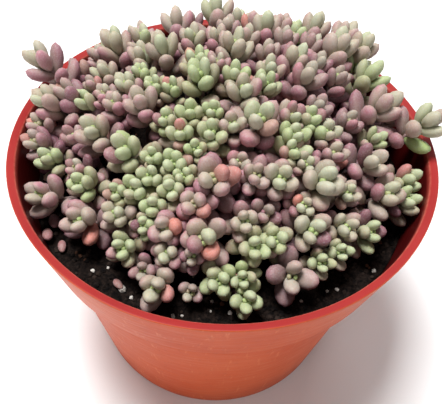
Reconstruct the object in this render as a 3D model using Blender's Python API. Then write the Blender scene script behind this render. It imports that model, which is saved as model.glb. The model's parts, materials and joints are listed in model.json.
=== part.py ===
"""Potted sedum: a plastic pot, its soil, and a mound of branching stems with plump, crossed leaf pairs.

The origin is the middle of the pot's flat bottom, +Z is up and the photo's camera looks along +Y.
"""

import math

import bpy
import numpy as np
from mathutils.bvhtree import BVHTree

MM = 0.001
SEED = 12

# Pot: a tapered body with a stepped collar and a flat lip.
POT_HEIGHT = 80 * MM
LIP_RADIUS = 57 * MM
LIP_WIDTH = 2.2 * MM
LIP_DROP = 0.6 * MM
COLLAR_HEIGHT = 20.2 * MM
COLLAR_FOOT_RADIUS = 52.3 * MM
BODY_TOP_RADIUS = 49.5 * MM
BASE_RADIUS = 40 * MM
WALL = 1.4 * MM
FLOOR = 1.8 * MM
EDGE_ROUND = 0.7 * MM
POT_SIDES = 36
SHARP_ANGLE = math.radians(35)
DRAIN_HOLES = 6
DRAIN_RADIUS = 3.5 * MM
DRAIN_CIRCLE = 26 * MM
DRAIN_SIDES = 8

# Soil: fills the pot, with a low uneven top and a plain hole for each stem.
SOIL_DEPTH = 15 * MM
SOIL_RELIEF = 0.7 * MM
SOIL_SIDES = 28
SOIL_RINGS = 4
GAP = 0.3 * MM
HOLE_DEPTH = 4 * MM

# Mound: the height of the leaf tips above the lip, over a point of the pot's plan.
MOUND_TOP = 12.5 * MM
MOUND_DROP = 15 * MM
MOUND_RADIUS = 50 * MM
MOUND_CENTRE = (1.5 * MM, 4.5 * MM)
MOUND_POWER = 2.2
MOUND_TILT = 0.148
LEAN_ASIDE = 0.62
LEAN_OUT = 0.85
LEAN_FORWARD = 0.14
SIDEWAYS = np.array([0.31, 0.95, 0.05])

# Stems and leaves. A crown's size letter gives its leaf length and width, its number of leaf pairs,
# how far its youngest and oldest pairs lean from its axis in degrees, and the youngest leaf's share of
# the full length. O is a crown that has opened flat. The leaf rings are places along a leaf with their
# shares of its width, and the balls are a coarser stand-in for it while the leaves settle.
TRUNK_RADIUS = 1.1 * MM
TRUNK_HEIGHT = 1.2 * MM
STEM_RADIUS = 0.75 * MM
TRUNK_INSET = 0.88
FOOT_CIRCLE = 44 * MM
LEAF_SIZES = {
    "S": (5.0 * MM, 2.8 * MM, 5, 6, 70, 0.32),
    "M": (6.2 * MM, 3.4 * MM, 6, 6, 72, 0.30),
    "L": (7.6 * MM, 4.1 * MM, 6, 6, 72, 0.30),
    "X": (8.7 * MM, 4.7 * MM, 7, 6, 72, 0.30),
    "O": (7.8 * MM, 4.6 * MM, 4, 34, 84, 0.20),
}
FULL_SIZE_PAIR = 2.5
GROWTH_CURVE = 0.4
LEAN_PACE = 2.8
LOWEST_PAIR = 2.5 * MM
LEAF_RINGS = ((0.48, 0.84), (0.90, 0.56))
LEAF_FLATNESS = 0.84
LEAF_GAP = 0.35 * MM
TIP_DEPTH = 0.08
BUD_REACH = 0.30
BUD_RADIUS = 0.22
FOOT_INSET = 0.7
LEAN_SPREAD = 4.0
SIZE_SPREAD = 0.07
PAIR_SPACING = 0.19
SPACING_GROWTH = 0.10
SETTLE_STEPS = 90
KNEE_REACH = 0.4
INNER_WALL_FOOT = 51 * MM
WALL_CLEARANCE = 0.5 * MM
TURN_SHARE = 0.5
TURN_BACK = 0.03
SHIFT_SHARE = 0.35
SHIFT_BACK = 0.02
TRIM_STEPS = 24
TRIM_LENGTH = 0.95
TRIM_WIDTH = 0.92
BALL_PLACES = np.array([0.30, 0.58, 0.84])
BALL_SIZES = np.array([0.82, 1.0, 0.72])
SAME_CROWN = 0.8
SMALLEST_SCALE = 0.55
FIRST_SHOWN = 1

# One row for each stem, and one entry for each of its crowns: x and y in mm, the height in mm above
# or below the mound's surface, the size letter and the leaf colour. Read by eye from the photo.
STEMS = (
    ((-52, 16.5, 13.5, "L", "blush"), (-44, 23, 0, "M", "mauve")),
    ((-34.5, 29.5, 2.5, "L", "pale"), (-39, 28.5, 0, "S", "blush"), (-40, 36, -2, "M", "pale")),
    ((-26.5, 32, 0, "M", "pale"), (-24.5, 21, 0, "M", "pale"), (-29, 41, -2, "M", "blush")),
    ((-34.5, 16.5, 0, "M", "pale"), (-37.5, 12, 0, "S", "mauve"), (-33, 7, 0, "S", "blush")),
    ((-38, 6.5, 0, "M", "green"), (-29.5, 3, 0, "M", "blush")),
    ((-48, 5.5, 6.5, "L", "pale"), (-43, 7.5, 3.5, "L", "mauve")),
    ((-50, 1, 3.5, "M", "blush"), (-49.5, -5, 4, "M", "mauve")),
    ((-46, -8, 0.5, "M", "green"), (-45, -20.5, 4, "L", "blush")),
    ((-37, -14, 0, "S", "blush"), (-35.5, -18, 0, "M", "green")),
    ((-34, -5.5, 1.5, "L", "pale"), (-40.5, -2.5, -2, "M", "mauve")),
    ((-34, -27.5, 1.5, "L", "blush"), (-25, -26.5, 0, "M", "pale")),
    ((-22.5, -34.5, 0, "M", "green"), (-17, -30, 0, "S", "green"), (-12.5, -31.5, 1.5, "L", "blush")),
    ((-13.5, -43, 1.5, "L", "pale"), (-11, -35.5, 0, "M", "pale"), (-17, -38, -2, "S", "mauve")),
    ((-15.5, -26.5, 0, "M", "green"), (-11.5, -23, 0, "M", "green")),
    ((-6.5, -26.5, 1.5, "L", "blush"),),
    ((-4, -35, 3, "X", "pale"), (-6, -36, 0, "S", "mauve")),
    ((-2.5, -22, 3, "X", "blush"), (-6.5, -13, 0, "S", "green")),
    ((-12, -17, 0, "M", "green"), (-17, -15, 0, "S", "green"), (-17.5, -19.5, 0, "M", "green"),
     (-9.5, -20, 0, "S", "green")),
    ((-20.5, -22.5, 0, "M", "green"), (-25, -22.5, 0, "S", "green")),
    ((-24.5, -13, 1.5, "L", "green"),),
    ((-10.5, -8.5, 0, "M", "green"), (-15, -4.5, 0, "S", "green"), (-9, -3, 0, "M", "green")),
    ((-3.5, -3, 0, "S", "green"), (-3.5, -8.5, 0, "M", "green"), (1.5, -6, 0, "M", "pale")),
    ((8.5, -6.5, 3, "X", "pale"), (4, -14, -3, "M", "blush")),
    ((17, -1.5, 0, "M", "pale"), (21.5, -1, 0, "M", "green"), (24, 6, -2, "M", "mauve")),
    ((27.5, -9, 0, "M", "blush"), (25.5, -4, 0, "M", "pale")),
    ((17.5, -11, 0, "M", "green"), (19.5, -13.5, 0, "S", "pale"), (17.5, -7, 0, "M", "green")),
    ((14, -19.5, 1.5, "L", "pale"), (8.5, -18.5, 0, "M", "blush")),
    ((24.5, -19, 3, "X", "pale"), (31, -18, 0, "S", "pale")),
    ((22, -29.5, 1.5, "L", "pale"), (20, -23.5, 0, "S", "pale")),
    ((6.5, -29, 0, "M", "pale"), (9, -33.5, 0, "M", "green"), (13, -32, 0, "M", "green"),
     (10.5, -25.2, -3, "M", "mauve")),
    ((18, -38.5, 0, "O", "mauve"),),
    ((25, -34.5, 0, "S", "green"), (29.5, -31.5, 0, "S", "green")),
    ((31, -26, 0, "M", "pale"), (37.5, -25, 0, "M", "green")),
    ((42.5, -15.5, 1.5, "L", "pale"), (48, -14.5, 1.5, "M", "green"), (49, -8, 1, "M", "green")),
    ((38, -8.5, 1.5, "L", "blush"), (40, 0, 0, "S", "green"), (33, 4, -2, "M", "mauve")),
    ((40, 22.5, 2.5, "L", "green"), (38, 32.5, 5, "L", "pale"), (33.5, 37.5, 4.5, "L", "blush"),
     (37, 28.5, 0, "M", "green")),
    ((30.5, 28, 4, "X", "pale"),),
    ((30, 17.5, 0, "M", "mauve"), (24.5, 20.5, 0, "M", "mauve")),
    ((24, 37.5, 3, "L", "pale"), (23.5, 30.5, 0, "M", "mauve"), (25, 46, -3, "M", "blush")),
    ((17.5, 18, 1.5, "L", "pale"), (20.5, 12, 1.5, "L", "mauve")),
    ((42, 8, 4.6, "X", "blush"),),
    ((53, 2.5, 12.5, "L", "pale"), (47, 15, -3, "M", "mauve")),
    ((-19, 21, 1.5, "L", "pale"),),
    ((-11, 27, 0, "M", "pale"), (-16, 35.5, 1.5, "L", "blush")),
    ((-5, 39.5, 2.7, "L", "pale"), (-1, 33, 0, "M", "mauve"), (-13, 46, -3, "M", "mauve")),
    ((-4, 26, 0, "M", "blush"), (0.5, 21.5, 1.5, "L", "pale")),
    ((-9, 16, 0, "M", "green"), (-3.5, 14.5, 0, "S", "blush"), (-7.5, 8.5, 1.5, "L", "green")),
    ((2, 10.5, 0, "M", "green"), (4, 4, 1.5, "L", "pale")),
    ((9.5, 8.5, 0, "M", "green"), (11, 13.5, 0, "M", "pale"), (10.5, 21, 0, "M", "mauve")),
    ((6, 40, -1, "M", "blush"), (4.5, 27.5, 0, "M", "blush"), (2, 50, -3, "M", "pale")),
    ((10, 33, 1.5, "L", "pale"), (15, 40, 0, "M", "blush")),
    ((15.5, 30.5, 0, "M", "mauve"), (19, 36.5, 0, "M", "green"), (13, 48, -3, "M", "pale")),
    ((-22, 0.5, 1.5, "L", "blush"), (-19.5, 6.5, 0, "S", "green"), (-15, 5.5, 0, "S", "green")),
    ((-27, 8.5, 0, "M", "pale"), (-23.5, 12.5, 0, "S", "green")),
    ((1, -41, 0, "M", "green"), (6.5, -40.5, 0, "S", "green"), (7.5, -44, 0, "M", "green"),
     (-5.5, -42, -3, "S", "mauve")),
)

COLOURS = {
    "pot": ((0.55, 0.13, 0.07, 1), 0.55),
    "soil": ((0.012, 0.009, 0.008, 1), 0.95),
    "green": ((0.36, 0.50, 0.20, 1), 0.5),
    "pale": ((0.50, 0.52, 0.36, 1), 0.5),
    "blush": ((0.60, 0.42, 0.38, 1), 0.5),
    "mauve": ((0.28, 0.15, 0.17, 1), 0.5),
}


def clear_scene():
    for thing in list(bpy.data.objects):
        bpy.data.objects.remove(thing, do_unlink=True)


def material(name):
    colour, roughness = COLOURS[name]
    made = bpy.data.materials.new(name)
    made.use_nodes = True
    shader = made.node_tree.nodes["Principled BSDF"]
    shader.inputs["Base Color"].default_value = colour
    shader.inputs["Roughness"].default_value = roughness
    shader.inputs["Metallic"].default_value = 0.0
    made.diffuse_color = colour
    return made


def add_object(name, points, faces, finish):
    mesh = bpy.data.meshes.new(name)
    mesh.from_pydata([tuple(p) for p in points], [], [tuple(f) for f in faces])
    mesh.materials.append(finish)
    thing = bpy.data.objects.new(name, mesh)
    bpy.context.scene.collection.objects.link(thing)
    return thing


def collar_radius(z):
    """Outer radius of the pot at height z, along the collar or the body."""
    foot = POT_HEIGHT - COLLAR_HEIGHT
    if z >= foot:
        return COLLAR_FOOT_RADIUS + (LIP_RADIUS - COLLAR_FOOT_RADIUS) * (z - foot) / COLLAR_HEIGHT
    return BASE_RADIUS + (BODY_TOP_RADIUS - BASE_RADIUS) * z / foot


def pot_profile():
    """Half section of the pot from the middle of its underside, round the outside, to its inner floor."""
    foot = POT_HEIGHT - COLLAR_HEIGHT
    step = foot + WALL
    lip_inside = LIP_RADIUS - LIP_WIDTH
    return [
        (BASE_RADIUS - EDGE_ROUND, 0),
        (BASE_RADIUS, EDGE_ROUND),
        (BODY_TOP_RADIUS, foot),
        (COLLAR_FOOT_RADIUS - EDGE_ROUND, foot),
        (COLLAR_FOOT_RADIUS, foot + EDGE_ROUND),
        (LIP_RADIUS, POT_HEIGHT - EDGE_ROUND),
        (LIP_RADIUS - EDGE_ROUND / 2, POT_HEIGHT),
        (lip_inside, POT_HEIGHT - LIP_DROP),
        (collar_radius(step) - WALL, step),
        (collar_radius(foot - MM) - WALL, step),
        (BASE_RADIUS - WALL, FLOOR),
    ]


def lathe(profile, sides):
    """Points and faces of a closed turned body, from a half section with a middle at both ends."""
    angles = [2 * math.pi * i / sides for i in range(sides)]
    points = [(r * math.cos(a), r * math.sin(a), z) for r, z in profile for a in angles]
    faces = []
    for ring in range(len(profile) - 1):
        for i in range(sides):
            k = (i + 1) % sides
            low, high = ring * sides, (ring + 1) * sides
            faces.append((low + i, low + k, high + k, high + i))
    first, last = len(points), len(points) + 1
    points += [(0, 0, profile[0][1]), (0, 0, profile[-1][1])]
    top = (len(profile) - 1) * sides
    for i in range(sides):
        k = (i + 1) % sides
        faces.append((first, k, i))
        faces.append((last, top + i, top + k))
    return points, faces


def prism(x, y, radius, bottom, top, sides):
    """A closed upright prism round the point."""
    points, faces = lathe([(radius, bottom), (radius, top)], sides)
    return [(a + x, b + y, c) for a, b, c in points], faces


def cut(thing, cutters):
    """Takes the cutters out of the object and removes them."""
    group = bpy.data.collections.new("cutters")
    for cutter in cutters:
        group.objects.link(cutter)
        cutter.hide_render = True
        cutter.display_type = "WIRE"
    run_boolean(thing, group, "DIFFERENCE", "EXACT")


def join(thing, pieces):
    """Fuses the pieces into the object and removes them."""
    group = bpy.data.collections.new("pieces")
    for piece in pieces:
        group.objects.link(piece)
    run_boolean(thing, group, "UNION", "MANIFOLD")


def run_boolean(thing, group, operation, solver):
    modifier = thing.modifiers.new("boolean", "BOOLEAN")
    modifier.operation = operation
    modifier.operand_type = "COLLECTION"
    modifier.collection = group
    modifier.solver = solver
    depsgraph = bpy.context.evaluated_depsgraph_get()
    depsgraph.update()
    mesh = bpy.data.meshes.new_from_object(thing.evaluated_get(depsgraph))
    thing.modifiers.clear()
    thing.data = mesh
    for other in list(group.objects):
        bpy.data.objects.remove(other, do_unlink=True)
    bpy.data.collections.remove(group)


def make_pot():
    finish = material("pot")
    pot = add_object("pot", *lathe(pot_profile(), POT_SIDES), finish)
    cutters = []
    for i in range(DRAIN_HOLES):
        angle = 2 * math.pi * i / DRAIN_HOLES
        x = DRAIN_CIRCLE * math.cos(angle)
        y = DRAIN_CIRCLE * math.sin(angle)
        shape = prism(x, y, DRAIN_RADIUS, -FLOOR, 2 * FLOOR, DRAIN_SIDES)
        cutters.append(add_object("drain", *shape, finish))
    cut(pot, cutters)
    pot.data.shade_smooth()
    pot.data.set_sharp_from_angle(angle=SHARP_ANGLE)


def soil_height(x, y):
    """Height of the soil's top: level, with low waves of three lengths."""
    waves = (
        np.sin(x / (6.1 * MM) + 0.8) * np.cos(y / (7.3 * MM))
        + 0.6 * np.sin(x / (3.7 * MM) - y / (4.1 * MM) + 2.1)
        + 0.4 * np.cos(x / (12 * MM) + y / (9 * MM))
    )
    return POT_HEIGHT - SOIL_DEPTH + SOIL_RELIEF * waves / 2


def make_soil(feet, spins):
    """The filling, as wide as the pot's inside less the gap, with a plain square hole for each foot."""
    step = POT_HEIGHT - COLLAR_HEIGHT + WALL
    top = POT_HEIGHT - SOIL_DEPTH
    rim = collar_radius(top) - WALL - 2 * GAP
    shelf = collar_radius(step) - WALL - GAP
    neck = collar_radius(step - WALL - MM) - WALL - GAP
    profile = [
        (BASE_RADIUS - WALL - GAP, FLOOR + GAP),
        (neck, step + GAP),
        (shelf, step + GAP),
        (rim, top),
    ]
    profile += [(rim * (1 - i / SOIL_RINGS), top) for i in range(1, SOIL_RINGS)]
    points, faces = lathe(profile, SOIL_SIDES)
    relief = [(x, y, soil_height(x, y)) if z >= top else (x, y, z) for x, y, z in points]
    thirds = [(f[0], f[k], f[k + 1]) for f in faces for k in range(1, len(f) - 1)]
    finish = material("soil")
    soil = add_object("soil", relief, thirds, finish)
    cutters = []
    hole = TRUNK_RADIUS + 1.5 * GAP
    up = np.array([0.0, 0.0, 1.0])
    for foot, spin in zip(feet, spins):
        ways = corner_ways(up, spin)
        low = foot - up * HOLE_DEPTH
        points = square(low, *ways, hole) + square(low + up * 2 * HOLE_DEPTH, *ways, hole)
        cutters.append(add_object("hole", points, PRISM_FACES, finish))
    cut(soil, cutters)


def unit(v):
    return v / np.maximum(np.linalg.norm(v, axis=-1, keepdims=True), 1e-12)


def mound_height(x, y):
    """Height of the leaf tips over the plan: a dome that tilts up to the back."""
    rho = np.hypot(x - MOUND_CENTRE[0], y - MOUND_CENTRE[1]) / MOUND_RADIUS
    return POT_HEIGHT + MOUND_TOP - MOUND_DROP * rho**MOUND_POWER + MOUND_TILT * y


class Crowns:
    """All crowns as arrays: stem number, tip on the mound, axis, leaf sizes, number of pairs and colour."""

    def __init__(self):
        rows = [(number, *crown) for number, stem in enumerate(STEMS) for crown in stem]
        self.stem = np.array([row[0] for row in rows])
        x = np.array([row[1] for row in rows]) * MM
        y = np.array([row[2] for row in rows]) * MM
        lift = np.array([row[3] for row in rows]) * MM
        self.home = np.stack([x, y, mound_height(x, y) + lift], axis=1)
        self.tip = self.home.copy()
        aside = LEAN_ASIDE * (x - MOUND_CENTRE[0]) / MOUND_RADIUS
        back = LEAN_OUT * (y - MOUND_CENTRE[1]) / MOUND_RADIUS - LEAN_FORWARD
        self.axis = unit(np.stack([aside, back, np.ones(len(rows))], axis=1))
        sizes = np.array([LEAF_SIZES[row[4]] for row in rows])
        self.length, self.width, pairs, self.first_lean, self.last_lean, self.youngest = sizes.T
        self.colour = [row[5] for row in rows]
        room = self.tip[:, 2] - soil_height(x, y) - LOWEST_PAIR
        levels = np.arange(1, int(pairs.max()))
        low = self.axis[:, 2:3] * drop_below_tip(self.length[:, None], levels)
        self.pairs = np.minimum(pairs, 1 + (low < room[:, None]).sum(axis=1)).astype(int)


def across(axis, angle):
    """A unit vector square to the axis, turned round it by the angle."""
    side = unit(np.cross(axis, SIDEWAYS))
    other = np.cross(axis, side)
    return np.cos(angle)[..., None] * side + np.sin(angle)[..., None] * other


def drop_below_tip(length, pair):
    """How far down its axis a pair sits below the mound's surface; pairs stand wider apart lower down."""
    return length * (TIP_DEPTH + PAIR_SPACING * pair * (1 + SPACING_GROWTH * pair))


class Leaves:
    """All leaves as arrays: the crown and pair they belong to, the way they point and their size."""

    def __init__(self, crowns):
        draw = np.random.default_rng(SEED)
        self.spin = draw.uniform(-math.pi / 4, math.pi / 4, len(crowns.stem))
        self.crown = np.repeat(np.arange(len(crowns.stem)), crowns.pairs * 2)
        self.pair = np.concatenate([np.repeat(np.arange(n), 2) for n in crowns.pairs])
        self.side = np.concatenate([np.tile([0, 2], n) for n in crowns.pairs]) + self.pair % 2
        count = len(self.crown)
        self.axis = crowns.axis[self.crown]
        first, last = crowns.first_lean[self.crown], crowns.last_lean[self.crown]
        lean = last + (first - last) * np.exp(-self.pair / LEAN_PACE) + draw.normal(0, LEAN_SPREAD, count)
        lean = np.radians(lean)[:, None]
        radial = across(self.axis, self.spin[self.crown] + self.side * math.pi / 2)
        self.home = np.cos(lean) * self.axis + np.sin(lean) * radial
        self.way = self.home.copy()
        youngest = crowns.youngest[self.crown]
        growth = youngest + (1 - youngest) * np.minimum(1, self.pair / FULL_SIZE_PAIR) ** GROWTH_CURVE
        spread = 1 + draw.uniform(-SIZE_SPREAD, SIZE_SPREAD, (2, count))
        self.length = crowns.length[self.crown] * growth * spread[0]
        self.width = crowns.width[self.crown] * (0.1 + 0.9 * growth) * spread[1]
        drop = drop_below_tip(crowns.length[self.crown], self.pair)
        self.offset = radial * STEM_RADIUS * FOOT_INSET - self.axis * drop[:, None]


def leaf_balls(leaves, crowns):
    """Three balls that fill each leaf, used to keep leaves out of each other."""
    base = crowns.tip[leaves.crown] + leaves.offset
    reach = leaves.length[:, None] * BALL_PLACES
    centres = base[:, None, :] + reach[:, :, None] * leaves.way[:, None, :]
    radii = leaves.width[:, None] * BALL_SIZES * (0.5 + 0.5 * LEAF_FLATNESS) / 2
    return centres, radii


def neighbours(leaves, crowns):
    """Pairs of leaves whose middles are near enough to touch."""
    centres = leaf_balls(leaves, crowns)[0][:, 1]
    apart = np.linalg.norm(centres[:, None, :] - centres[None, :, :], axis=2)
    reach = (leaves.length + leaves.width)[:, None] / 2
    first, second = np.nonzero(apart < (reach + reach.T))
    keep = first < second
    return first[keep], second[keep]


def overlaps(leaves, crowns, first, second):
    """How deep each ball of the first leaf sits in each ball of the second, and the way out."""
    centres, radii = leaf_balls(leaves, crowns)
    between = centres[first][:, :, None, :] - centres[second][:, None, :, :]
    distance = np.linalg.norm(between, axis=3)
    need = radii[first][:, :, None] + radii[second][:, None, :] + LEAF_GAP
    same = leaves.crown[first] == leaves.crown[second]
    need = np.where(same[:, None, None], SAME_CROWN * need, need)
    depth = np.maximum(0, need - distance)
    return depth, between / np.maximum(distance, 1e-9)[..., None]


def wall_push(centres, radii):
    """Push that takes balls out of the pot's wall and lip, and up out of the soil."""
    rho = np.linalg.norm(centres[..., :2], axis=-1)
    z = centres[..., 2]
    inside = np.interp(z, [0, POT_HEIGHT], [INNER_WALL_FOOT, LIP_RADIUS - LIP_WIDTH]) - WALL_CLEARANCE
    gap_rho = rho - np.clip(rho, inside, LIP_RADIUS)
    gap_z = z - np.minimum(z, POT_HEIGHT)
    distance = np.maximum(np.hypot(gap_rho, gap_z), 1e-9)
    depth = np.maximum(0, radii + LEAF_GAP - distance)
    way_rho = np.where(distance > 1e-8, gap_rho / distance, -1.0)
    push = np.zeros_like(centres)
    push[..., :2] = centres[..., :2] * (way_rho * depth / np.maximum(rho, 1e-9))[..., None]
    floor = soil_height(centres[..., 0], centres[..., 1]) + 2 * GAP
    push[..., 2] = gap_z / distance * depth + np.maximum(0, floor + radii - z)
    return push


def stem_feet(crowns):
    """Where each stem stands in the soil: under its crowns, drawn in from the pot's wall."""
    middles = [crowns.tip[crowns.stem == number, :2].mean(axis=0) for number in range(len(STEMS))]
    out = np.linalg.norm(middles, axis=1)
    feet = np.array(middles) * np.minimum(TRUNK_INSET, FOOT_CIRCLE / out)[:, None]
    return np.column_stack([feet, soil_height(feet[:, 0], feet[:, 1])])


def branch_paths(crowns):
    """For each crown, the middle line of its branch: from its foot, past a knee, to under its leaves."""
    start = stem_feet(crowns)[crowns.stem] + np.array([0, 0, TRUNK_HEIGHT])
    end = crowns.tip - crowns.axis * drop_below_tip(crowns.length, crowns.pairs - 1.5)[:, None]
    reach = KNEE_REACH * np.linalg.norm(end - start, axis=1)[:, None]
    knee = 0.4 * (start + reach * np.array([0, 0, 1.0])) + 0.6 * (end - crowns.axis * reach)
    side_branch = np.r_[False, crowns.stem[1:] == crowns.stem[:-1]]
    knee[side_branch] = (start[side_branch] + end[side_branch]) / 2
    return np.stack([start, knee, end], axis=1)


def stem_push(centres, radii, leaves, paths):
    """Push that takes leaf balls out of the branches of other crowns."""
    share = np.linspace(0, 1, 6)[None, :, None]
    low = paths[:, :1] * (1 - share) + paths[:, 1:2] * share
    high = paths[:, 1:2] * (1 - share) + paths[:, 2:] * share
    beads = np.concatenate([low, high], axis=1)
    owner = np.repeat(np.arange(len(paths)), beads.shape[1])
    beads = beads.reshape(-1, 3)
    own = leaves.crown[:, None] == owner[None, :]
    rows = np.arange(len(centres))
    push = np.zeros_like(centres)
    for ball in range(centres.shape[1]):
        between = centres[:, ball, None, :] - beads[None, :, :]
        distance = np.linalg.norm(between, axis=2)
        depth = np.maximum(0, radii[:, ball, None] + STEM_RADIUS + LEAF_GAP - distance)
        depth[own] = 0
        worst = depth.argmax(axis=1)
        way = between[rows, worst] / np.maximum(distance[rows, worst], 1e-9)[:, None]
        push[:, ball] = way * depth[rows, worst][:, None]
    return push


def settle(leaves, crowns):
    """Bends leaves clear of each other, of stems, of the pot and of the soil, and shifts crowns a little."""
    count = np.bincount(leaves.crown, minlength=len(crowns.tip))[:, None]
    for step in range(SETTLE_STEPS):
        if step % 10 == 0:
            first, second = neighbours(leaves, crowns)
        depth, way = overlaps(leaves, crowns, first, second)
        push = way * depth[..., None] * 0.5
        centres, radii = leaf_balls(leaves, crowns)
        move = wall_push(centres, radii)
        np.add.at(move, first, push.sum(axis=2))
        np.add.at(move, second, -push.sum(axis=1))
        if step % 3 == 0:
            from_stems = stem_push(centres, radii, leaves, branch_paths(crowns))
        move += from_stems
        turn = (move * BALL_PLACES[None, :, None]).sum(axis=1) / (BALL_PLACES**2).sum()
        turned = unit(leaves.way * leaves.length[:, None] + TURN_SHARE * turn)
        leaves.way = unit(turned + TURN_BACK * leaves.home)
        shift = np.zeros_like(crowns.tip)
        np.add.at(shift, leaves.crown, move.mean(axis=1))
        crowns.tip += SHIFT_SHARE * shift / count + SHIFT_BACK * (crowns.home - crowns.tip)


def leaf_rings(base, way, up, length, width, extra=0.0):
    """Corners of a leaf past its foot: one ring at its widest part and one near its blunt tip."""
    side = np.cross(up, way)
    rings = []
    for place, size in LEAF_RINGS:
        middle = base + way * (length * place + (extra if place > 0.8 else 0))
        half = width / 2 * size + extra
        thick = half * LEAF_FLATNESS
        corners = [(-half, -thick), (half, -thick), (half, thick), (-half, thick)]
        rings.append([middle + side * a + up * b for a, b in corners])
    return rings


def leaf_up(leaves, i):
    """The way a leaf's upper face looks: towards its crown's axis."""
    along = np.dot(leaves.axis[i], leaves.way[i])
    return unit(leaves.axis[i] - leaves.way[i] * along)


def near_misses(leaves, chosen, base, tubes):
    """Leaves that, grown by half the gap, reach into a grown leaf, branch or bud of another crown."""
    points = []
    faces = []
    owner = []
    for i in chosen:
        shape = leaf_rings(base[i], leaves.way[i], leaf_up(leaves, i),
                           leaves.length[i], leaves.width[i], GAP / 2)
        start = len(points)
        points += [base[i]] + shape[0] + shape[1]
        ring = [start + 1 + k for k in range(4)]
        faces += [(start, ring[k], ring[(k + 1) % 4]) for k in range(4)]
        faces += [(ring[k], ring[(k + 1) % 4], ring[(k + 1) % 4] + 4, ring[k] + 4) for k in range(4)]
        faces.append(tuple(corner + 4 for corner in ring))
        owner += [i] * 9
    for crown, (path, radii) in enumerate(tubes):
        tube, sides = tube_mesh(path, radii)
        faces += [tuple(len(points) + k for k in side) for side in sides]
        points += tube
        owner += [-1 - crown] * len(sides)
    tree = BVHTree.FromPolygons(points, faces)
    hit = set()
    for a, b in tree.overlap(tree):
        one, two = owner[a], owner[b]
        if one < 0:
            continue
        other_crown = -1 - two if two < 0 else leaves.crown[two]
        if leaves.crown[one] != other_crown and (two < 0 or leaves.pair[one] >= leaves.pair[two]):
            hit.add(one)
    return hit


def own_crossings(points, faces, owners):
    """Leaves of one crown whose faces cross each other, or their own branch."""
    tree = BVHTree.FromPolygons(points, faces)
    hit = set()
    for a, b in tree.overlap(tree):
        if owners[a] >= 0 and not set(faces[a]) & set(faces[b]):
            hit.add(owners[a])
    return hit


def solid_paths(leaves, crowns, shown):
    """The branches as the solids have them: straight from the knee to under the lowest leaves shown."""
    paths = branch_paths(crowns)
    lowest = np.full(len(crowns.tip), FIRST_SHOWN)
    np.maximum.at(lowest, leaves.crown[shown], leaves.pair[shown])
    paths[:, 2] = crowns.tip - crowns.axis * drop_below_tip(crowns.length, lowest + 0.5)[:, None]
    side_branch = np.r_[False, crowns.stem[1:] == crowns.stem[:-1]]
    paths[side_branch, 1] = paths[side_branch][:, ::2].mean(axis=1)
    return paths


def trim(leaves, crowns, shown):
    """Shrinks each leaf of the solid that still comes too near another, the pot or the soil."""
    base = crowns.tip[leaves.crown] + leaves.offset
    paths = solid_paths(leaves, crowns, shown)
    full = leaves.length.copy()
    chosen = np.nonzero(shown)[0]
    buds = crowns.tip - crowns.axis * drop_below_tip(crowns.length, FIRST_SHOWN - 0.5)[:, None]
    points = crowns.tip + crowns.axis * crowns.length[:, None] * BUD_REACH
    radii = np.full((len(crowns.tip), 3), STEM_RADIUS)
    radii = np.column_stack([radii, crowns.width * BUD_RADIUS, 0 * crowns.width]) + GAP / 2
    tubes = list(zip(np.concatenate([paths, buds[:, None], points[:, None]], axis=1), radii))
    for _ in range(TRIM_STEPS):
        hit = near_misses(leaves, chosen, base, tubes)
        for crown, path in enumerate(paths):
            first = [(path[0], STEM_RADIUS)]
            hit |= own_crossings(*crown_mesh(crown, leaves, shown, crowns, path, first))
        centres, radii = leaf_balls(leaves, crowns)
        outside = np.linalg.norm(wall_push(centres, radii), axis=2).max(axis=1) > GAP / 4
        hit = sorted(hit | set(np.nonzero(outside & shown)[0]))
        if not hit:
            break
        leaves.length[hit] *= TRIM_LENGTH
        leaves.width[hit] *= TRIM_WIDTH
    return leaves.length > SMALLEST_SCALE * full


PRISM_FACES = [(3, 2, 1, 0), (0, 1, 5, 4), (1, 2, 6, 5), (2, 3, 7, 6), (3, 0, 4, 7), (4, 5, 6, 7)]


def tube_mesh(path, radii):
    """A slim four-sided tube along the path, closed at both ends."""
    points = []
    ways = unit(np.gradient(path, axis=0))
    for place, way, radius in zip(path, ways, radii):
        side = unit(np.cross(way, SIDEWAYS))
        points += square(place, side, np.cross(way, side), radius)
    faces = [(3, 2, 1, 0)]
    for low in range(0, len(points) - 4, 4):
        faces += [(low + i, low + (i + 1) % 4, low + 4 + (i + 1) % 4, low + 4 + i) for i in range(4)]
    last = len(points) - 4
    faces.append((last, last + 1, last + 2, last + 3))
    return points, faces


def square(middle, side, other, radius):
    corners = ((1, 0), (0, 1), (-1, 0), (0, -1))
    return [middle + side * (radius * a) + other * (radius * b) for a, b in corners]


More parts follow.
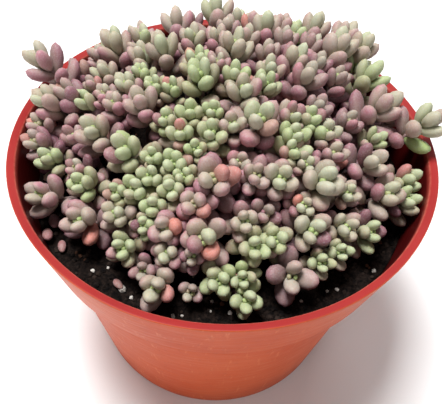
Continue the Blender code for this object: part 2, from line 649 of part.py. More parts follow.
def crown_mesh(crown, leaves, shown, crowns, path, first_rings):
    """One closed body: a branch whose upper sides are drawn out into crossed pairs of leaves, and a bud."""
    axis, length, tip = crowns.axis[crown], crowns.length[crown], crowns.tip[crown]
    mine = np.nonzero((leaves.crown == crown) & shown)[0]
    levels = sorted(set(leaves.pair[mine]), reverse=True)
    spin = leaves.spin[crown]
    points = []
    for middle, radius in first_rings:
        points += square(middle, *corner_ways(np.array([0.0, 0.0, 1.0]), spin), radius)
    if len(first_rings) > 1:
        points += square(path[1], *corner_ways(unit(path[2] - path[0]), spin), STEM_RADIUS)
    side, other = corner_ways(axis, spin)
    bounds = sorted({level + half for level in levels for half in (0.5, -0.5)} | {FIRST_SHOWN - 0.5})[::-1]
    rings = len(points) // 4 + len(bounds)
    leafy = {}
    for bound in bounds:
        for i in mine[leaves.pair[mine] == bound - 0.5]:
            leafy[len(points) // 4, leaves.side[i] % 4] = i
        radius = crowns.width[crown] * BUD_RADIUS if bound == bounds[-1] else STEM_RADIUS
        points += square(tip - axis * drop_below_tip(length, bound), side, other, radius)
    faces = [(3, 2, 1, 0)]
    owners = [-1]
    for ring in range(rings - 1):
        for k in range(4):
            a, b = ring * 4 + (k - 1) % 4, ring * 4 + k
            foot = (a, b, b + 4, a + 4)
            i = leafy.get((ring, k), -1)
            if i < 0:
                faces.append(foot)
            else:
                shape = leaf_rings(tip + leaves.offset[i], leaves.way[i], leaf_up(leaves, i),
                                   leaves.length[i], leaves.width[i])
                add_bands(faces, foot, len(points))
                points += shape[0] + shape[1]
            owners += [i] * (len(faces) - len(owners))
    top = (rings - 1) * 4
    faces += [(top + k, top + (k + 1) % 4, len(points)) for k in range(4)]
    points.append(tip + axis * length * BUD_REACH)
    owners += [-1] * 4
    return points, faces, owners


def corner_ways(axis, spin):
    """Two ways square to the axis that put the tube's corners between its pairs of leaves."""
    side = across(axis, np.array(spin + math.pi / 4))
    return side, np.cross(axis, side)


def add_bands(faces, foot, start):
    """Two bands of triangles from the foot, past the ring that starts at the number, and a blunt end."""
    ring = [start + i for i in range(4)]
    end = [start + 4 + i for i in range(4)]
    for low, high in ((foot, ring), (ring, end)):
        faces += [(low[i], low[(i + 1) % 4], high[(i + 1) % 4]) for i in range(4)]
        faces += [(low[i], high[(i + 1) % 4], high[i]) for i in range(4)]
    faces += [(end[0], end[1], end[2]), (end[0], end[2], end[3])]


def shown_leaves(leaves, crowns):
    """The leaves that the solid holds: the second pair from the tip, the third of all but the smallest
    crowns, and the fifth of the large ones."""
    small = crowns.length[leaves.crown] < LEAF_SIZES["M"][0]
    large = crowns.length[leaves.crown] > LEAF_SIZES["M"][0]
    first = leaves.pair == FIRST_SHOWN
    return first | ((leaves.pair == FIRST_SHOWN + 1) & ~small) | ((leaves.pair == FIRST_SHOWN + 3) & large)


def make_stems(leaves, shown, crowns):
    """One fused solid for each stem: the branch of its first crown down into the soil, and the others."""
    feet = stem_feet(crowns)
    paths = branch_paths(crowns)
    finishes = {name: material(name) for name in COLOURS if name not in ("pot", "soil")}
    up = np.array([0.0, 0.0, 1.0])
    for number, foot in enumerate(feet):
        members = np.nonzero(crowns.stem == number)[0]
        finish = finishes[crowns.colour[members[0]]]
        trunk = [(foot - up * (HOLE_DEPTH - GAP), TRUNK_RADIUS), (foot + up * TRUNK_HEIGHT, TRUNK_RADIUS)]
        pieces = []
        for m in members:
            rings = trunk if m == members[0] else [(foot + up * TRUNK_HEIGHT * 0.6, STEM_RADIUS)]
            shape = crown_mesh(m, leaves, shown, crowns, paths[m], rings)[:2]
            name = f"stem_{number + 1:02d}" if m == members[0] else "branch"
            pieces.append(add_object(name, *shape, finish))
        if len(pieces) > 1:
            join(pieces[0], pieces[1:])
    first = [np.nonzero(crowns.stem == number)[0][0] for number in range(len(STEMS))]
    return feet, leaves.spin[first]


def build():
    clear_scene()
    crowns = Crowns()
    leaves = Leaves(crowns)
    settle(leaves, crowns)
    shown = shown_leaves(leaves, crowns)
    shown &= trim(leaves, crowns, shown)
    make_pot()
    make_soil(*make_stems(leaves, shown, crowns))


build()
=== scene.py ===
import json
import math

import bpy
import numpy as np
from mathutils import Matrix

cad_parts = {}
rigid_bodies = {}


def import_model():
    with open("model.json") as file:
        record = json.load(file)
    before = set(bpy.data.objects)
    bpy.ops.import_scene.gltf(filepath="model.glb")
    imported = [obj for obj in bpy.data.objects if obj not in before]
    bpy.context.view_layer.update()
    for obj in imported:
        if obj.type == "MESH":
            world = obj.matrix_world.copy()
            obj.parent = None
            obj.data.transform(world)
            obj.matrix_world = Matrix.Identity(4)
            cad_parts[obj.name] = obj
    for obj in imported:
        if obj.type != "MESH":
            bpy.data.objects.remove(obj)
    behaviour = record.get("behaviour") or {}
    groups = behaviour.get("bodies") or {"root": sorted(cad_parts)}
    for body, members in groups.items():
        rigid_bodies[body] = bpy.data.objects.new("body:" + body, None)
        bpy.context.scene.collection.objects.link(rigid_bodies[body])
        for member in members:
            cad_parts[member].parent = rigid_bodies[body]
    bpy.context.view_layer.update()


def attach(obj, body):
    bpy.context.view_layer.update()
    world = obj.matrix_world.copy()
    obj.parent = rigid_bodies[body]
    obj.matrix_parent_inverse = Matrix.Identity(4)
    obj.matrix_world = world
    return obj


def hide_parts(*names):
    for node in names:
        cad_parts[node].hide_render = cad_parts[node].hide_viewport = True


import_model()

MM = 0.001

# --- The camera stands at the photograph's angle: 44 degrees above the lip's plane, rolled a little.
# It was fitted to the circles of the pot's lip, collar and base.
ELEVATION = math.radians(44.03)
DISTANCE = 162.3 * MM
POT_HEIGHT = 80 * MM
AIM = np.array([0.2, 0.0, 53.95]) * MM
ROLL = math.radians(3.91)
FOCAL_PIXELS = 600
IMAGE_SIZE = (442, 404)

camera_data = bpy.data.cameras.new("camera")
camera_data.sensor_width = 36
camera_data.lens = FOCAL_PIXELS * 36 / IMAGE_SIZE[0]
camera_data.clip_start = 0.01
camera = bpy.data.objects.new("camera", camera_data)
bpy.context.scene.collection.objects.link(camera)
eye = np.array([0.0, -math.cos(ELEVATION) * DISTANCE, POT_HEIGHT + math.sin(ELEVATION) * DISTANCE])
look = (AIM - eye) / np.linalg.norm(AIM - eye)
level = np.cross(look, [0, 0, 1])
level /= np.linalg.norm(level)
across_view = math.cos(ROLL) * level + math.sin(ROLL) * np.cross(level, look)
up_view = np.cross(across_view, look)
camera.matrix_world = Matrix([[across_view[i], up_view[i], -look[i], eye[i]] for i in range(3)] + [[0, 0, 0, 1]])
bpy.context.scene.camera = camera


def seen_at(pixels, height):
    """Points at the given height that the photograph shows at these pixels: rays cut with a level plane."""
    pixels = np.asarray(pixels, dtype=float)
    u = (pixels[:, 0:1] - IMAGE_SIZE[0] / 2) / FOCAL_PIXELS
    v = (IMAGE_SIZE[1] / 2 - pixels[:, 1:2]) / FOCAL_PIXELS
    ray = look + u * across_view + v * up_view
    return eye + ray * ((height - eye[2]) / ray[:, 2:3])


# --- Pot: one thin-walled moulding of terracotta red plastic, with a flat lip, a stepped collar and a
# tapered body. It is turned from one section; its flat underside has six drain holes.
LIP_RADIUS = 57 * MM
LIP_WIDTH = 2.2 * MM
LIP_DROP = 0.6 * MM
COLLAR_HEIGHT = 20.2 * MM
COLLAR_FOOT_RADIUS = 52.3 * MM
BODY_TOP_RADIUS = 49.5 * MM
BASE_RADIUS = 40 * MM
WALL = 1.4 * MM
FLOOR = 1.8 * MM
DRAIN_RADIUS = 3.5 * MM
DRAIN_CIRCLE = 26 * MM
POT_SIDES = 160


def add_piece(name, points, faces, finish):
    """A smooth-shaded mesh piece from its points, the corners of its faces, and its finish."""
    mesh = bpy.data.meshes.new(name)
    mesh.from_pydata(np.asarray(points).reshape(-1, 3).tolist(), [], faces)
    mesh.shade_smooth()
    mesh.materials.append(finish.material)
    piece = bpy.data.objects.new(name, mesh)
    bpy.context.scene.collection.objects.link(piece)
    return piece


def add_attribute(piece, name, values):
    """Stores one number for each point, for the finish to read."""
    layer = piece.data.attributes.new(name, "FLOAT", "POINT")
    layer.data.foreach_set("value", np.asarray(values, dtype=np.float32).ravel())


class Finish:
    """A node material: each method adds one node and gives its output."""

    def __init__(self, name, **sockets):
        self.material = bpy.data.materials.new(name)
        self.material.use_nodes = True
        self.nodes = self.material.node_tree.nodes
        self.links = self.material.node_tree.links
        self.shader = self.nodes["Principled BSDF"]
        for socket, value in sockets.items():
            self.shader.inputs[socket.replace("_", " ")].default_value = value

    def put(self, value, socket):
        if isinstance(value, bpy.types.NodeSocket):
            self.links.new(value, socket)
        elif isinstance(value, tuple) and len(value) == 3 and socket.type == "RGBA":
            socket.default_value = (*value, 1)
        else:
            socket.default_value = value

    def set(self, socket, value):
        self.put(value, self.shader.inputs[socket])

    def place(self, scale=(1, 1, 1)):
        """Object coordinates, stretched by the scale."""
        mapping = self.nodes.new("ShaderNodeMapping")
        mapping.inputs["Scale"].default_value = scale
        self.links.new(self.nodes.new("ShaderNodeTexCoord").outputs["Object"], mapping.inputs["Vector"])
        return mapping.outputs["Vector"]

    def attribute(self, name, output="Fac"):
        node = self.nodes.new("ShaderNodeAttribute")
        node.attribute_name = name
        return node.outputs[output]

    def noise(self, scale, detail=3.0, where=None, rough=0.55):
        node = self.nodes.new("ShaderNodeTexNoise")
        node.inputs["Scale"].default_value = scale
        node.inputs["Detail"].default_value = detail
        node.inputs["Roughness"].default_value = rough
        self.put(where or self.place(), node.inputs["Vector"])
        return node.outputs["Fac"]

    def steps(self, value, low, high, start=0.0, end=1.0):
        """The value, stretched from low..high to start..end and held there outside."""
        node = self.nodes.new("ShaderNodeMapRange")
        for socket, number in zip(("From Min", "From Max", "To Min", "To Max"), (low, high, start, end)):
            node.inputs[socket].default_value = number
        self.put(value, node.inputs["Value"])
        return node.outputs["Result"]

    def sum(self, operation, a, b=0.0):
        node = self.nodes.new("ShaderNodeMath")
        node.operation = operation
        self.put(a, node.inputs[0])
        self.put(b, node.inputs[1])
        return node.outputs["Value"]

    def blend(self, share, a, b, kind="MIX"):
        """Colour a turned into colour b by the share."""
        node = self.nodes.new("ShaderNodeMix")
        node.data_type = "RGBA"
        node.blend_type = kind
        sockets = [s for s in node.inputs if s.type == "RGBA"]
        self.put(share, node.inputs[0])
        self.put(a, sockets[0])
        self.put(b, sockets[1])
        return [s for s in node.outputs if s.type == "RGBA"][0]

    def bump(self, height, distance, strength=1.0):
        node = self.nodes.new("ShaderNodeBump")
        node.inputs["Distance"].default_value = distance
        node.inputs["Strength"].default_value = strength
        self.put(height, node.inputs["Height"])
        self.links.new(node.outputs["Normal"], self.shader.inputs["Normal"])


def rounded(corners, radii, steps=4):
    """A path through the corners; each is rounded by a parabola that starts and ends its radius away."""
    corners = [np.array(corner) for corner in corners]
    path = [corners[0][None]]
    share = np.linspace(0, 1, steps + 1)[:, None]
    for before, corner, after, radius in zip(corners, corners[1:], corners[2:], radii):
        start = corner + (before - corner) / np.linalg.norm(before - corner) * radius
        end = corner + (after - corner) / np.linalg.norm(after - corner) * radius
        path.append((1 - share) ** 2 * start + 2 * share * (1 - share) * corner + share**2 * end)
    path.append(corners[-1][None])
    return np.concatenate(path)


def filled_in(path, longest):
    """The path with points added so that no step is longer than the given length."""
    out = [path[:1]]
    for a, b in zip(path[:-1], path[1:]):
        count = max(1, int(np.ceil(np.linalg.norm(b - a) / longest)))
        out.append(a + (b - a) * np.arange(1, count + 1)[:, None] / count)
    return np.concatenate(out)


def turned(path, sides):
    """A grid of points: each point of the path (radius, height) carried round the upright axis."""
    angle = np.linspace(0, 2 * np.pi, sides, endpoint=False)
    radius, height = path[:, 0:1], path[:, 1:2]
    return np.stack([radius * np.cos(angle), radius * np.sin(angle), height + 0 * angle], axis=-1)


def grid_faces(rows, columns):
    """Faces of a grid of points that closes on itself round its columns."""
    row, column = np.meshgrid(np.arange(rows - 1), np.arange(columns), indexing="ij")
    low = row * columns
    after = (column + 1) % columns
    return np.stack([low + column, low + after, low + columns + after, low + columns + column],
                    axis=-1).reshape(-1, 4)


def closed_turning(path, sides):
    """Points and faces of a turned body whose path starts and ends at a small ring, closed by two discs."""
    grid = turned(path, sides)
    faces = grid_faces(len(path), sides).tolist()
    faces.append(list(range(sides))[::-1])
    faces.append(list(range((len(path) - 1) * sides, len(path) * sides)))
    return grid, faces


collar_foot = POT_HEIGHT - COLLAR_HEIGHT
lip_inside = LIP_RADIUS - LIP_WIDTH
ledge = COLLAR_FOOT_RADIUS + (LIP_RADIUS - COLLAR_FOOT_RADIUS) * WALL / COLLAR_HEIGHT - WALL
section = [
    (10 * MM, 0.0), (BASE_RADIUS, 0.0), (BODY_TOP_RADIUS, collar_foot), (COLLAR_FOOT_RADIUS, collar_foot),
    (LIP_RADIUS, POT_HEIGHT), (lip_inside, POT_HEIGHT - LIP_DROP), (ledge, collar_foot + WALL),
    (BODY_TOP_RADIUS - WALL, collar_foot + WALL), (BASE_RADIUS - WALL, FLOOR), (10 * MM, FLOOR),
]
corner_radii = [size * MM for size in (0.9, 0.3, 0.8, 0.55, 0.45, 0.6, 0.5, 1.0)]
section = filled_in(rounded(section, corner_radii), 2.0 * MM)
wall, wall_faces = closed_turning(section, POT_SIDES)
angle = np.arctan2(wall[..., 1], wall[..., 0])
away = np.stack([np.cos(angle), np.sin(angle), 0 * angle], axis=-1)
height = section[:, 1:2]
is_high = np.clip((height - 20 * MM) / (60 * MM), 0, 1)
out_of_round = 0.12 * MM * is_high * (np.sin(3 * angle + 0.7) + 0.5 * np.sin(7 * angle + 2.0))
wall = wall + away * out_of_round[..., None]

pot_finish = Finish("pot_plastic", Roughness=0.42, IOR=1.45)
pot_finish.set("Specular IOR Level", 0.18)
streaks = pot_finish.noise(1.0, 4.0, pot_finish.place((90, 90, 900)), 0.65)
scratches = pot_finish.noise(1.0, 3.0, pot_finish.place((700, 700, 60)), 0.6)
clouds = pot_finish.noise(38.0, 3.0)
speck = pot_finish.noise(900.0, 2.0)
body_colour = pot_finish.blend(pot_finish.steps(clouds, 0.35, 0.7), (0.46, 0.062, 0.013), (0.52, 0.092, 0.028))
body_colour = pot_finish.blend(pot_finish.steps(streaks, 0.56, 0.74, 0.0, 0.30), body_colour, (0.68, 0.22, 0.10))
body_colour = pot_finish.blend(pot_finish.steps(scratches, 0.60, 0.74, 0.0, 0.35), body_colour, (0.74, 0.30, 0.16))
body_colour = pot_finish.blend(pot_finish.steps(speck, 0.62, 0.70, 0.0, 0.30), body_colour, (0.28, 0.045, 0.022))
lip_colour = pot_finish.blend(pot_finish.steps(clouds, 0.35, 0.7), (0.27, 0.016, 0.015), (0.32, 0.022, 0.019))
# Painted highlight: thin pale lines on the lip's inner and outer edges stand in for the light caught by their
# rounding.
lip_highlight_share = pot_finish.sum("MULTIPLY", pot_finish.attribute("edge"), pot_finish.steps(speck, 0.35, 0.6, 0.3, 0.7))
lip_colour = pot_finish.blend(lip_highlight_share, lip_colour, (0.52, 0.14, 0.10))
# Painted shade: below the lip, the inside of the pot fades to near-black red, standing in for the shadow inside the
# wall.
inner_painted_shade = pot_finish.blend(pot_finish.attribute("depth"), lip_colour, (0.070, 0.003, 0.003))
pot_finish.set("Base Color", pot_finish.blend(pot_finish.attribute("inside"), body_colour, inner_painted_shade))
pot_finish.set("Roughness", pot_finish.steps(streaks, 0.3, 0.75, 0.36, 0.58))
pot_finish.bump(pot_finish.sum("ADD", pot_finish.sum("MULTIPLY", streaks, 0.5), speck), 0.03 * MM, 0.5)

pot = add_piece("pot_shell", wall, wall_faces, pot_finish)
travel = np.arange(len(section))
lip_row = int(np.argmax(section[:, 1] * 10 + section[:, 0]))
is_inside = travel >= lip_row
# Ramp of the inside's painted shade: it comes in over 1.5 mm below the lip.
inner_shade_ramp = (POT_HEIGHT - LIP_DROP - 0.3 * MM - section[:, 1]) / (1.5 * MM)
on_lip = section[:, 1] > POT_HEIGHT - 1.2 * MM
# Mask of the lip's painted highlight lines, along its inner and outer edges.
near_edge = 1 - np.minimum(abs(section[:, 0] - LIP_RADIUS), abs(section[:, 0] - lip_inside)) / (0.35 * MM)
add_attribute(pot, "inside", np.repeat(is_inside.astype(float), POT_SIDES))
add_attribute(pot, "depth", np.repeat(np.clip(inner_shade_ramp, 0, 1) * is_inside, POT_SIDES))
add_attribute(pot, "edge", np.repeat(np.clip(near_edge, 0, 1) * on_lip, POT_SIDES))
drills = bpy.data.collections.new("drills")
for turn in np.arange(6) * np.pi / 3:
    middle = DRAIN_CIRCLE * np.array([math.cos(turn), math.sin(turn), 0])
    drill, drill_faces = closed_turning(np.array([(DRAIN_RADIUS, -FLOOR), (DRAIN_RADIUS, 2 * FLOOR)]), 28)
    drills.objects.link(add_piece("drill", drill + middle, drill_faces, pot_finish))
holes = pot.modifiers.new("holes", "BOOLEAN")
holes.operation = "DIFFERENCE"
holes.operand_type = "COLLECTION"
holes.collection = drills
holes.solver = "EXACT"
depsgraph = bpy.context.evaluated_depsgraph_get()
drilled = bpy.data.meshes.new_from_object(pot.evaluated_get(depsgraph))
pot.modifiers.clear()
pot.data = drilled
pot.data.set_sharp_from_angle(angle=math.radians(50))
for drill in list(drills.objects):
    bpy.data.objects.remove(drill, do_unlink=True)
bpy.data.collections.remove(drills)
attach(pot, "root")
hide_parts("pot")

# --- Soil: dark, peaty potting mix that fills the pot to 15 mm below the lip. Its top is a turned
# surface raised by low waves and crumbly roughness; the stems stand in it.
SOIL_DEPTH = 15 * MM
SOIL_RELIEF = 0.7 * MM
GAP = 0.3 * MM


def soil_height(x, y):
    """Height of the soil's top: level, with low waves of three lengths."""
    waves = (
        np.sin(x / (6.1 * MM) + 0.8) * np.cos(y / (7.3 * MM))
        + 0.6 * np.sin(x / (3.7 * MM) - y / (4.1 * MM) + 2.1)
        + 0.4 * np.cos(x / (12 * MM) + y / (9 * MM))
    )
    return POT_HEIGHT - SOIL_DEPTH + SOIL_RELIEF * waves / 2


def crumble(x, y):
    """Fine roughness: products of sines whose lengths shrink from 2.3 to 0.9 mm."""
    sizes = ((2.3, 0.30, 0.4), (1.7, 0.24, 1.9), (1.2, 0.18, 3.1), (0.9, 0.12, 5.0))
    return sum(
        height * MM * np.sin(x / (size * MM) + 2 * np.sin(y / (size * 1.9 * MM) + shift))
        * np.sin(y / (size * MM) + 2 * np.sin(x / (size * 2.3 * MM) - shift))
        for size, height, shift in sizes
    )


soil_top = POT_HEIGHT - SOIL_DEPTH
soil_rim = 51.75 * MM
soil_path = np.array([
    (8 * MM, FLOOR + GAP), (BASE_RADIUS - WALL - GAP, FLOOR + GAP),
    (BODY_TOP_RADIUS - WALL - 2 * GAP, collar_foot + WALL + GAP), (ledge - GAP, collar_foot + WALL + GAP),
    (soil_rim, soil_top),
])
rings_in = np.linspace(soil_rim, 0.4 * MM, 76)[1:]
soil_path = np.concatenate([soil_path, np.column_stack([rings_in, np.full(75, soil_top)])])
ground, ground_faces = closed_turning(soil_path, 200)
is_top = (soil_path[:, 1] >= soil_top)[:, None]
x, y = ground[..., 0], ground[..., 1]
ground[..., 2] = np.where(is_top, soil_height(x, y) + crumble(x, y), ground[..., 2])

soil_finish = Finish("potting_soil", Roughness=0.9)
soil_finish.set("Specular IOR Level", 0.08)
grain = soil_finish.noise(900.0, 5.0, rough=0.7)
clods = soil_finish.noise(220.0, 4.0)
soil_colour = soil_finish.blend(soil_finish.steps(grain, 0.40, 0.66), (0.002, 0.0015, 0.0015), (0.022, 0.014, 0.011))
soil_finish.set("Base Color", soil_finish.blend(soil_finish.steps(clods, 0.45, 0.75, 0.0, 0.6), soil_colour,
                                                (0.007, 0.0045, 0.004)))
soil_finish.bump(soil_finish.sum("ADD", grain, clods), 0.5 * MM, 1.0)
soil = add_piece("soil_fill", ground, ground_faces, soil_finish)
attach(soil, "root")
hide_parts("soil")

# --- Crumbs, perlite and bark: loose bits of the mix that lie on the soil, half sunk. Each is a small
# lump of twenty faces, pulled out of shape; the large pale ones lie where the photograph shows them.
golden = (1 + 5**0.5) / 2
LUMP_POINTS = np.array(
    [(-1, golden, 0), (1, golden, 0), (-1, -golden, 0), (1, -golden, 0), (0, -1, golden), (0, 1, golden),
     (0, -1, -golden), (0, 1, -golden), (golden, 0, -1), (golden, 0, 1), (-golden, 0, -1), (-golden, 0, 1)]
) / math.hypot(1, golden)
LUMP_FACES = np.array(
    [(0, 11, 5), (0, 5, 1), (0, 1, 7), (0, 7, 10), (0, 10, 11), (1, 5, 9), (5, 11, 4), (11, 10, 2),
     (10, 7, 6), (7, 1, 8), (3, 9, 4), (3, 4, 2), (3, 2, 6), (3, 6, 8), (3, 8, 9), (4, 9, 5),
     (2, 4, 11), (6, 2, 10), (8, 6, 7), (9, 8, 1)]
)


def lumps(places, sizes, draw, flat=0.75):
    """One twenty-sided lump at each place, turned at random, stretched unevenly and dented."""
    count = len(places)
    turn = np.linalg.qr(draw.normal(size=(count, 3, 3)))[0]
    stretch = draw.uniform(0.65, 1.0, (count, 1, 3))
    dents = draw.uniform(0.78, 1.1, (count, 12, 1))
    shape = np.einsum("nij,nkj->nki", turn, LUMP_POINTS[None] * stretch * dents)
    shape = shape * np.array([1, 1, flat])
    points = places[:, None] + shape * sizes[:, None, None]
    faces = (LUMP_FACES[None] + 12 * np.arange(count)[:, None, None]).reshape(-1, 3)
    return points.reshape(-1, 3), faces.tolist()


def on_soil(x, y, sunk):
    return np.column_stack([x, y, soil_height(x, y) + crumble(x, y) - sunk])


def scattered(count, draw, low, high):
    """Even random places on the soil's ring between two radii."""
    radius = np.sqrt(draw.uniform((low * MM) ** 2, (high * MM) ** 2, count))
    around = draw.uniform(0, 2 * np.pi, count)
    return radius * np.cos(around), radius * np.sin(around)


draw = np.random.default_rng(31)
LOOSE_BITS = (
    ("soil_crumbs", 1500, 0.35, 1.1, (0.003, 0.002, 0.002), (0.028, 0.018, 0.014), 0.95),
    ("bark_bits", 110, 0.35, 0.9, (0.055, 0.022, 0.013), (0.17, 0.085, 0.05), 0.8),
    ("perlite", 46, 0.30, 0.75, (0.42, 0.38, 0.33), (0.72, 0.69, 0.64), 0.7),
)
PERLITE_SEEN = ((122, 289, 1.5), (93, 272, 0.9), (173, 316, 0.9), (374, 271, 0.8), (337, 289, 0.7),
                (301, 301, 0.7), (230, 315, 0.8), (151, 293, 0.6), (108, 268, 0.6))
for name, count, least, most, dark, light, roughness in LOOSE_BITS:
    bits = Finish(name, Roughness=roughness)
    bits.set("Specular IOR Level", 0.15)
    speckle = bits.noise(1500.0, 3.0)
    bits.set("Base Color", bits.blend(bits.steps(bits.noise(330.0, 2.0), 0.4, 0.62), dark, light))
    bits.bump(speckle, 0.12 * MM, 0.8)
    across, along_y = scattered(count, draw, 22, 50.6)
    sizes = draw.uniform(least, most, count) * MM
    if name == "perlite":
        seen = np.array(PERLITE_SEEN)
        spots = seen_at(seen[:, :2], soil_top)
        across = np.concatenate([across, spots[:, 0]])
        along_y = np.concatenate([along_y, spots[:, 1]])
        sizes = np.concatenate([sizes, seen[:, 2] * MM])
    points, faces = lumps(on_soil(across, along_y, -0.15 * sizes), sizes, draw)
    piece = add_piece(name, points, faces, bits)
    piece.data.shade_flat()
    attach(piece, "root")

# --- The plant's growth: branching stems whose crowns stand on a low mound. Each crown bears crossed
# pairs of leaves; pushed leaves turn about their feet and crowns shift a little until all are clear.
SEED = 12
# Mound: the height of the leaf tips above the lip, over a point of the pot's plan.
MOUND_TOP = 12.5 * MM
MOUND_DROP = 15 * MM
MOUND_RADIUS = 50 * MM
MOUND_CENTRE = (1.5 * MM, 4.5 * MM)
MOUND_POWER = 2.2
MOUND_TILT = 0.148
LEAN_ASIDE = 0.62
LEAN_OUT = 0.85
LEAN_FORWARD = 0.14
SIDEWAYS = np.array([0.31, 0.95, 0.05])

# Stems and leaves. A crown's size letter gives its leaf length and width, its number of leaf pairs,
# how far its youngest and oldest pairs lean from its axis in degrees, and the youngest leaf's share of
# the full length. O is a crown that has opened flat. The leaf rings are places along a leaf with their
# shares of its width, and the balls are a coarser stand-in for it while the leaves settle.
TRUNK_HEIGHT = 1.2 * MM
STEM_RADIUS = 0.75 * MM
TRUNK_INSET = 0.88
FOOT_CIRCLE = 44 * MM
LEAF_SIZES = {
    "S": (5.0 * MM, 2.8 * MM, 5, 6, 70, 0.32),
    "M": (6.2 * MM, 3.4 * MM, 6, 6, 72, 0.30),
    "L": (7.6 * MM, 4.1 * MM, 6, 6, 72, 0.30),
    "X": (8.7 * MM, 4.7 * MM, 7, 6, 72, 0.30),
    "O": (7.8 * MM, 4.6 * MM, 4, 34, 84, 0.20),
}
FULL_SIZE_PAIR = 2.5
GROWTH_CURVE = 0.4
LEAN_PACE = 2.8
LOWEST_PAIR = 2.5 * MM
LEAF_FLATNESS = 0.84
LEAF_GAP = 0.35 * MM
TIP_DEPTH = 0.08
FOOT_INSET = 0.7
LEAN_SPREAD = 4.0
SIZE_SPREAD = 0.07
PAIR_SPACING = 0.19
SPACING_GROWTH = 0.10
SETTLE_STEPS = 90
KNEE_REACH = 0.4
INNER_WALL_FOOT = 51 * MM
WALL_CLEARANCE = 0.5 * MM
TURN_SHARE = 0.5
TURN_BACK = 0.03
SHIFT_SHARE = 0.35
SHIFT_BACK = 0.02
BALL_PLACES = np.array([0.30, 0.58, 0.84])
BALL_SIZES = np.array([0.82, 1.0, 0.72])
SAME_CROWN = 0.8

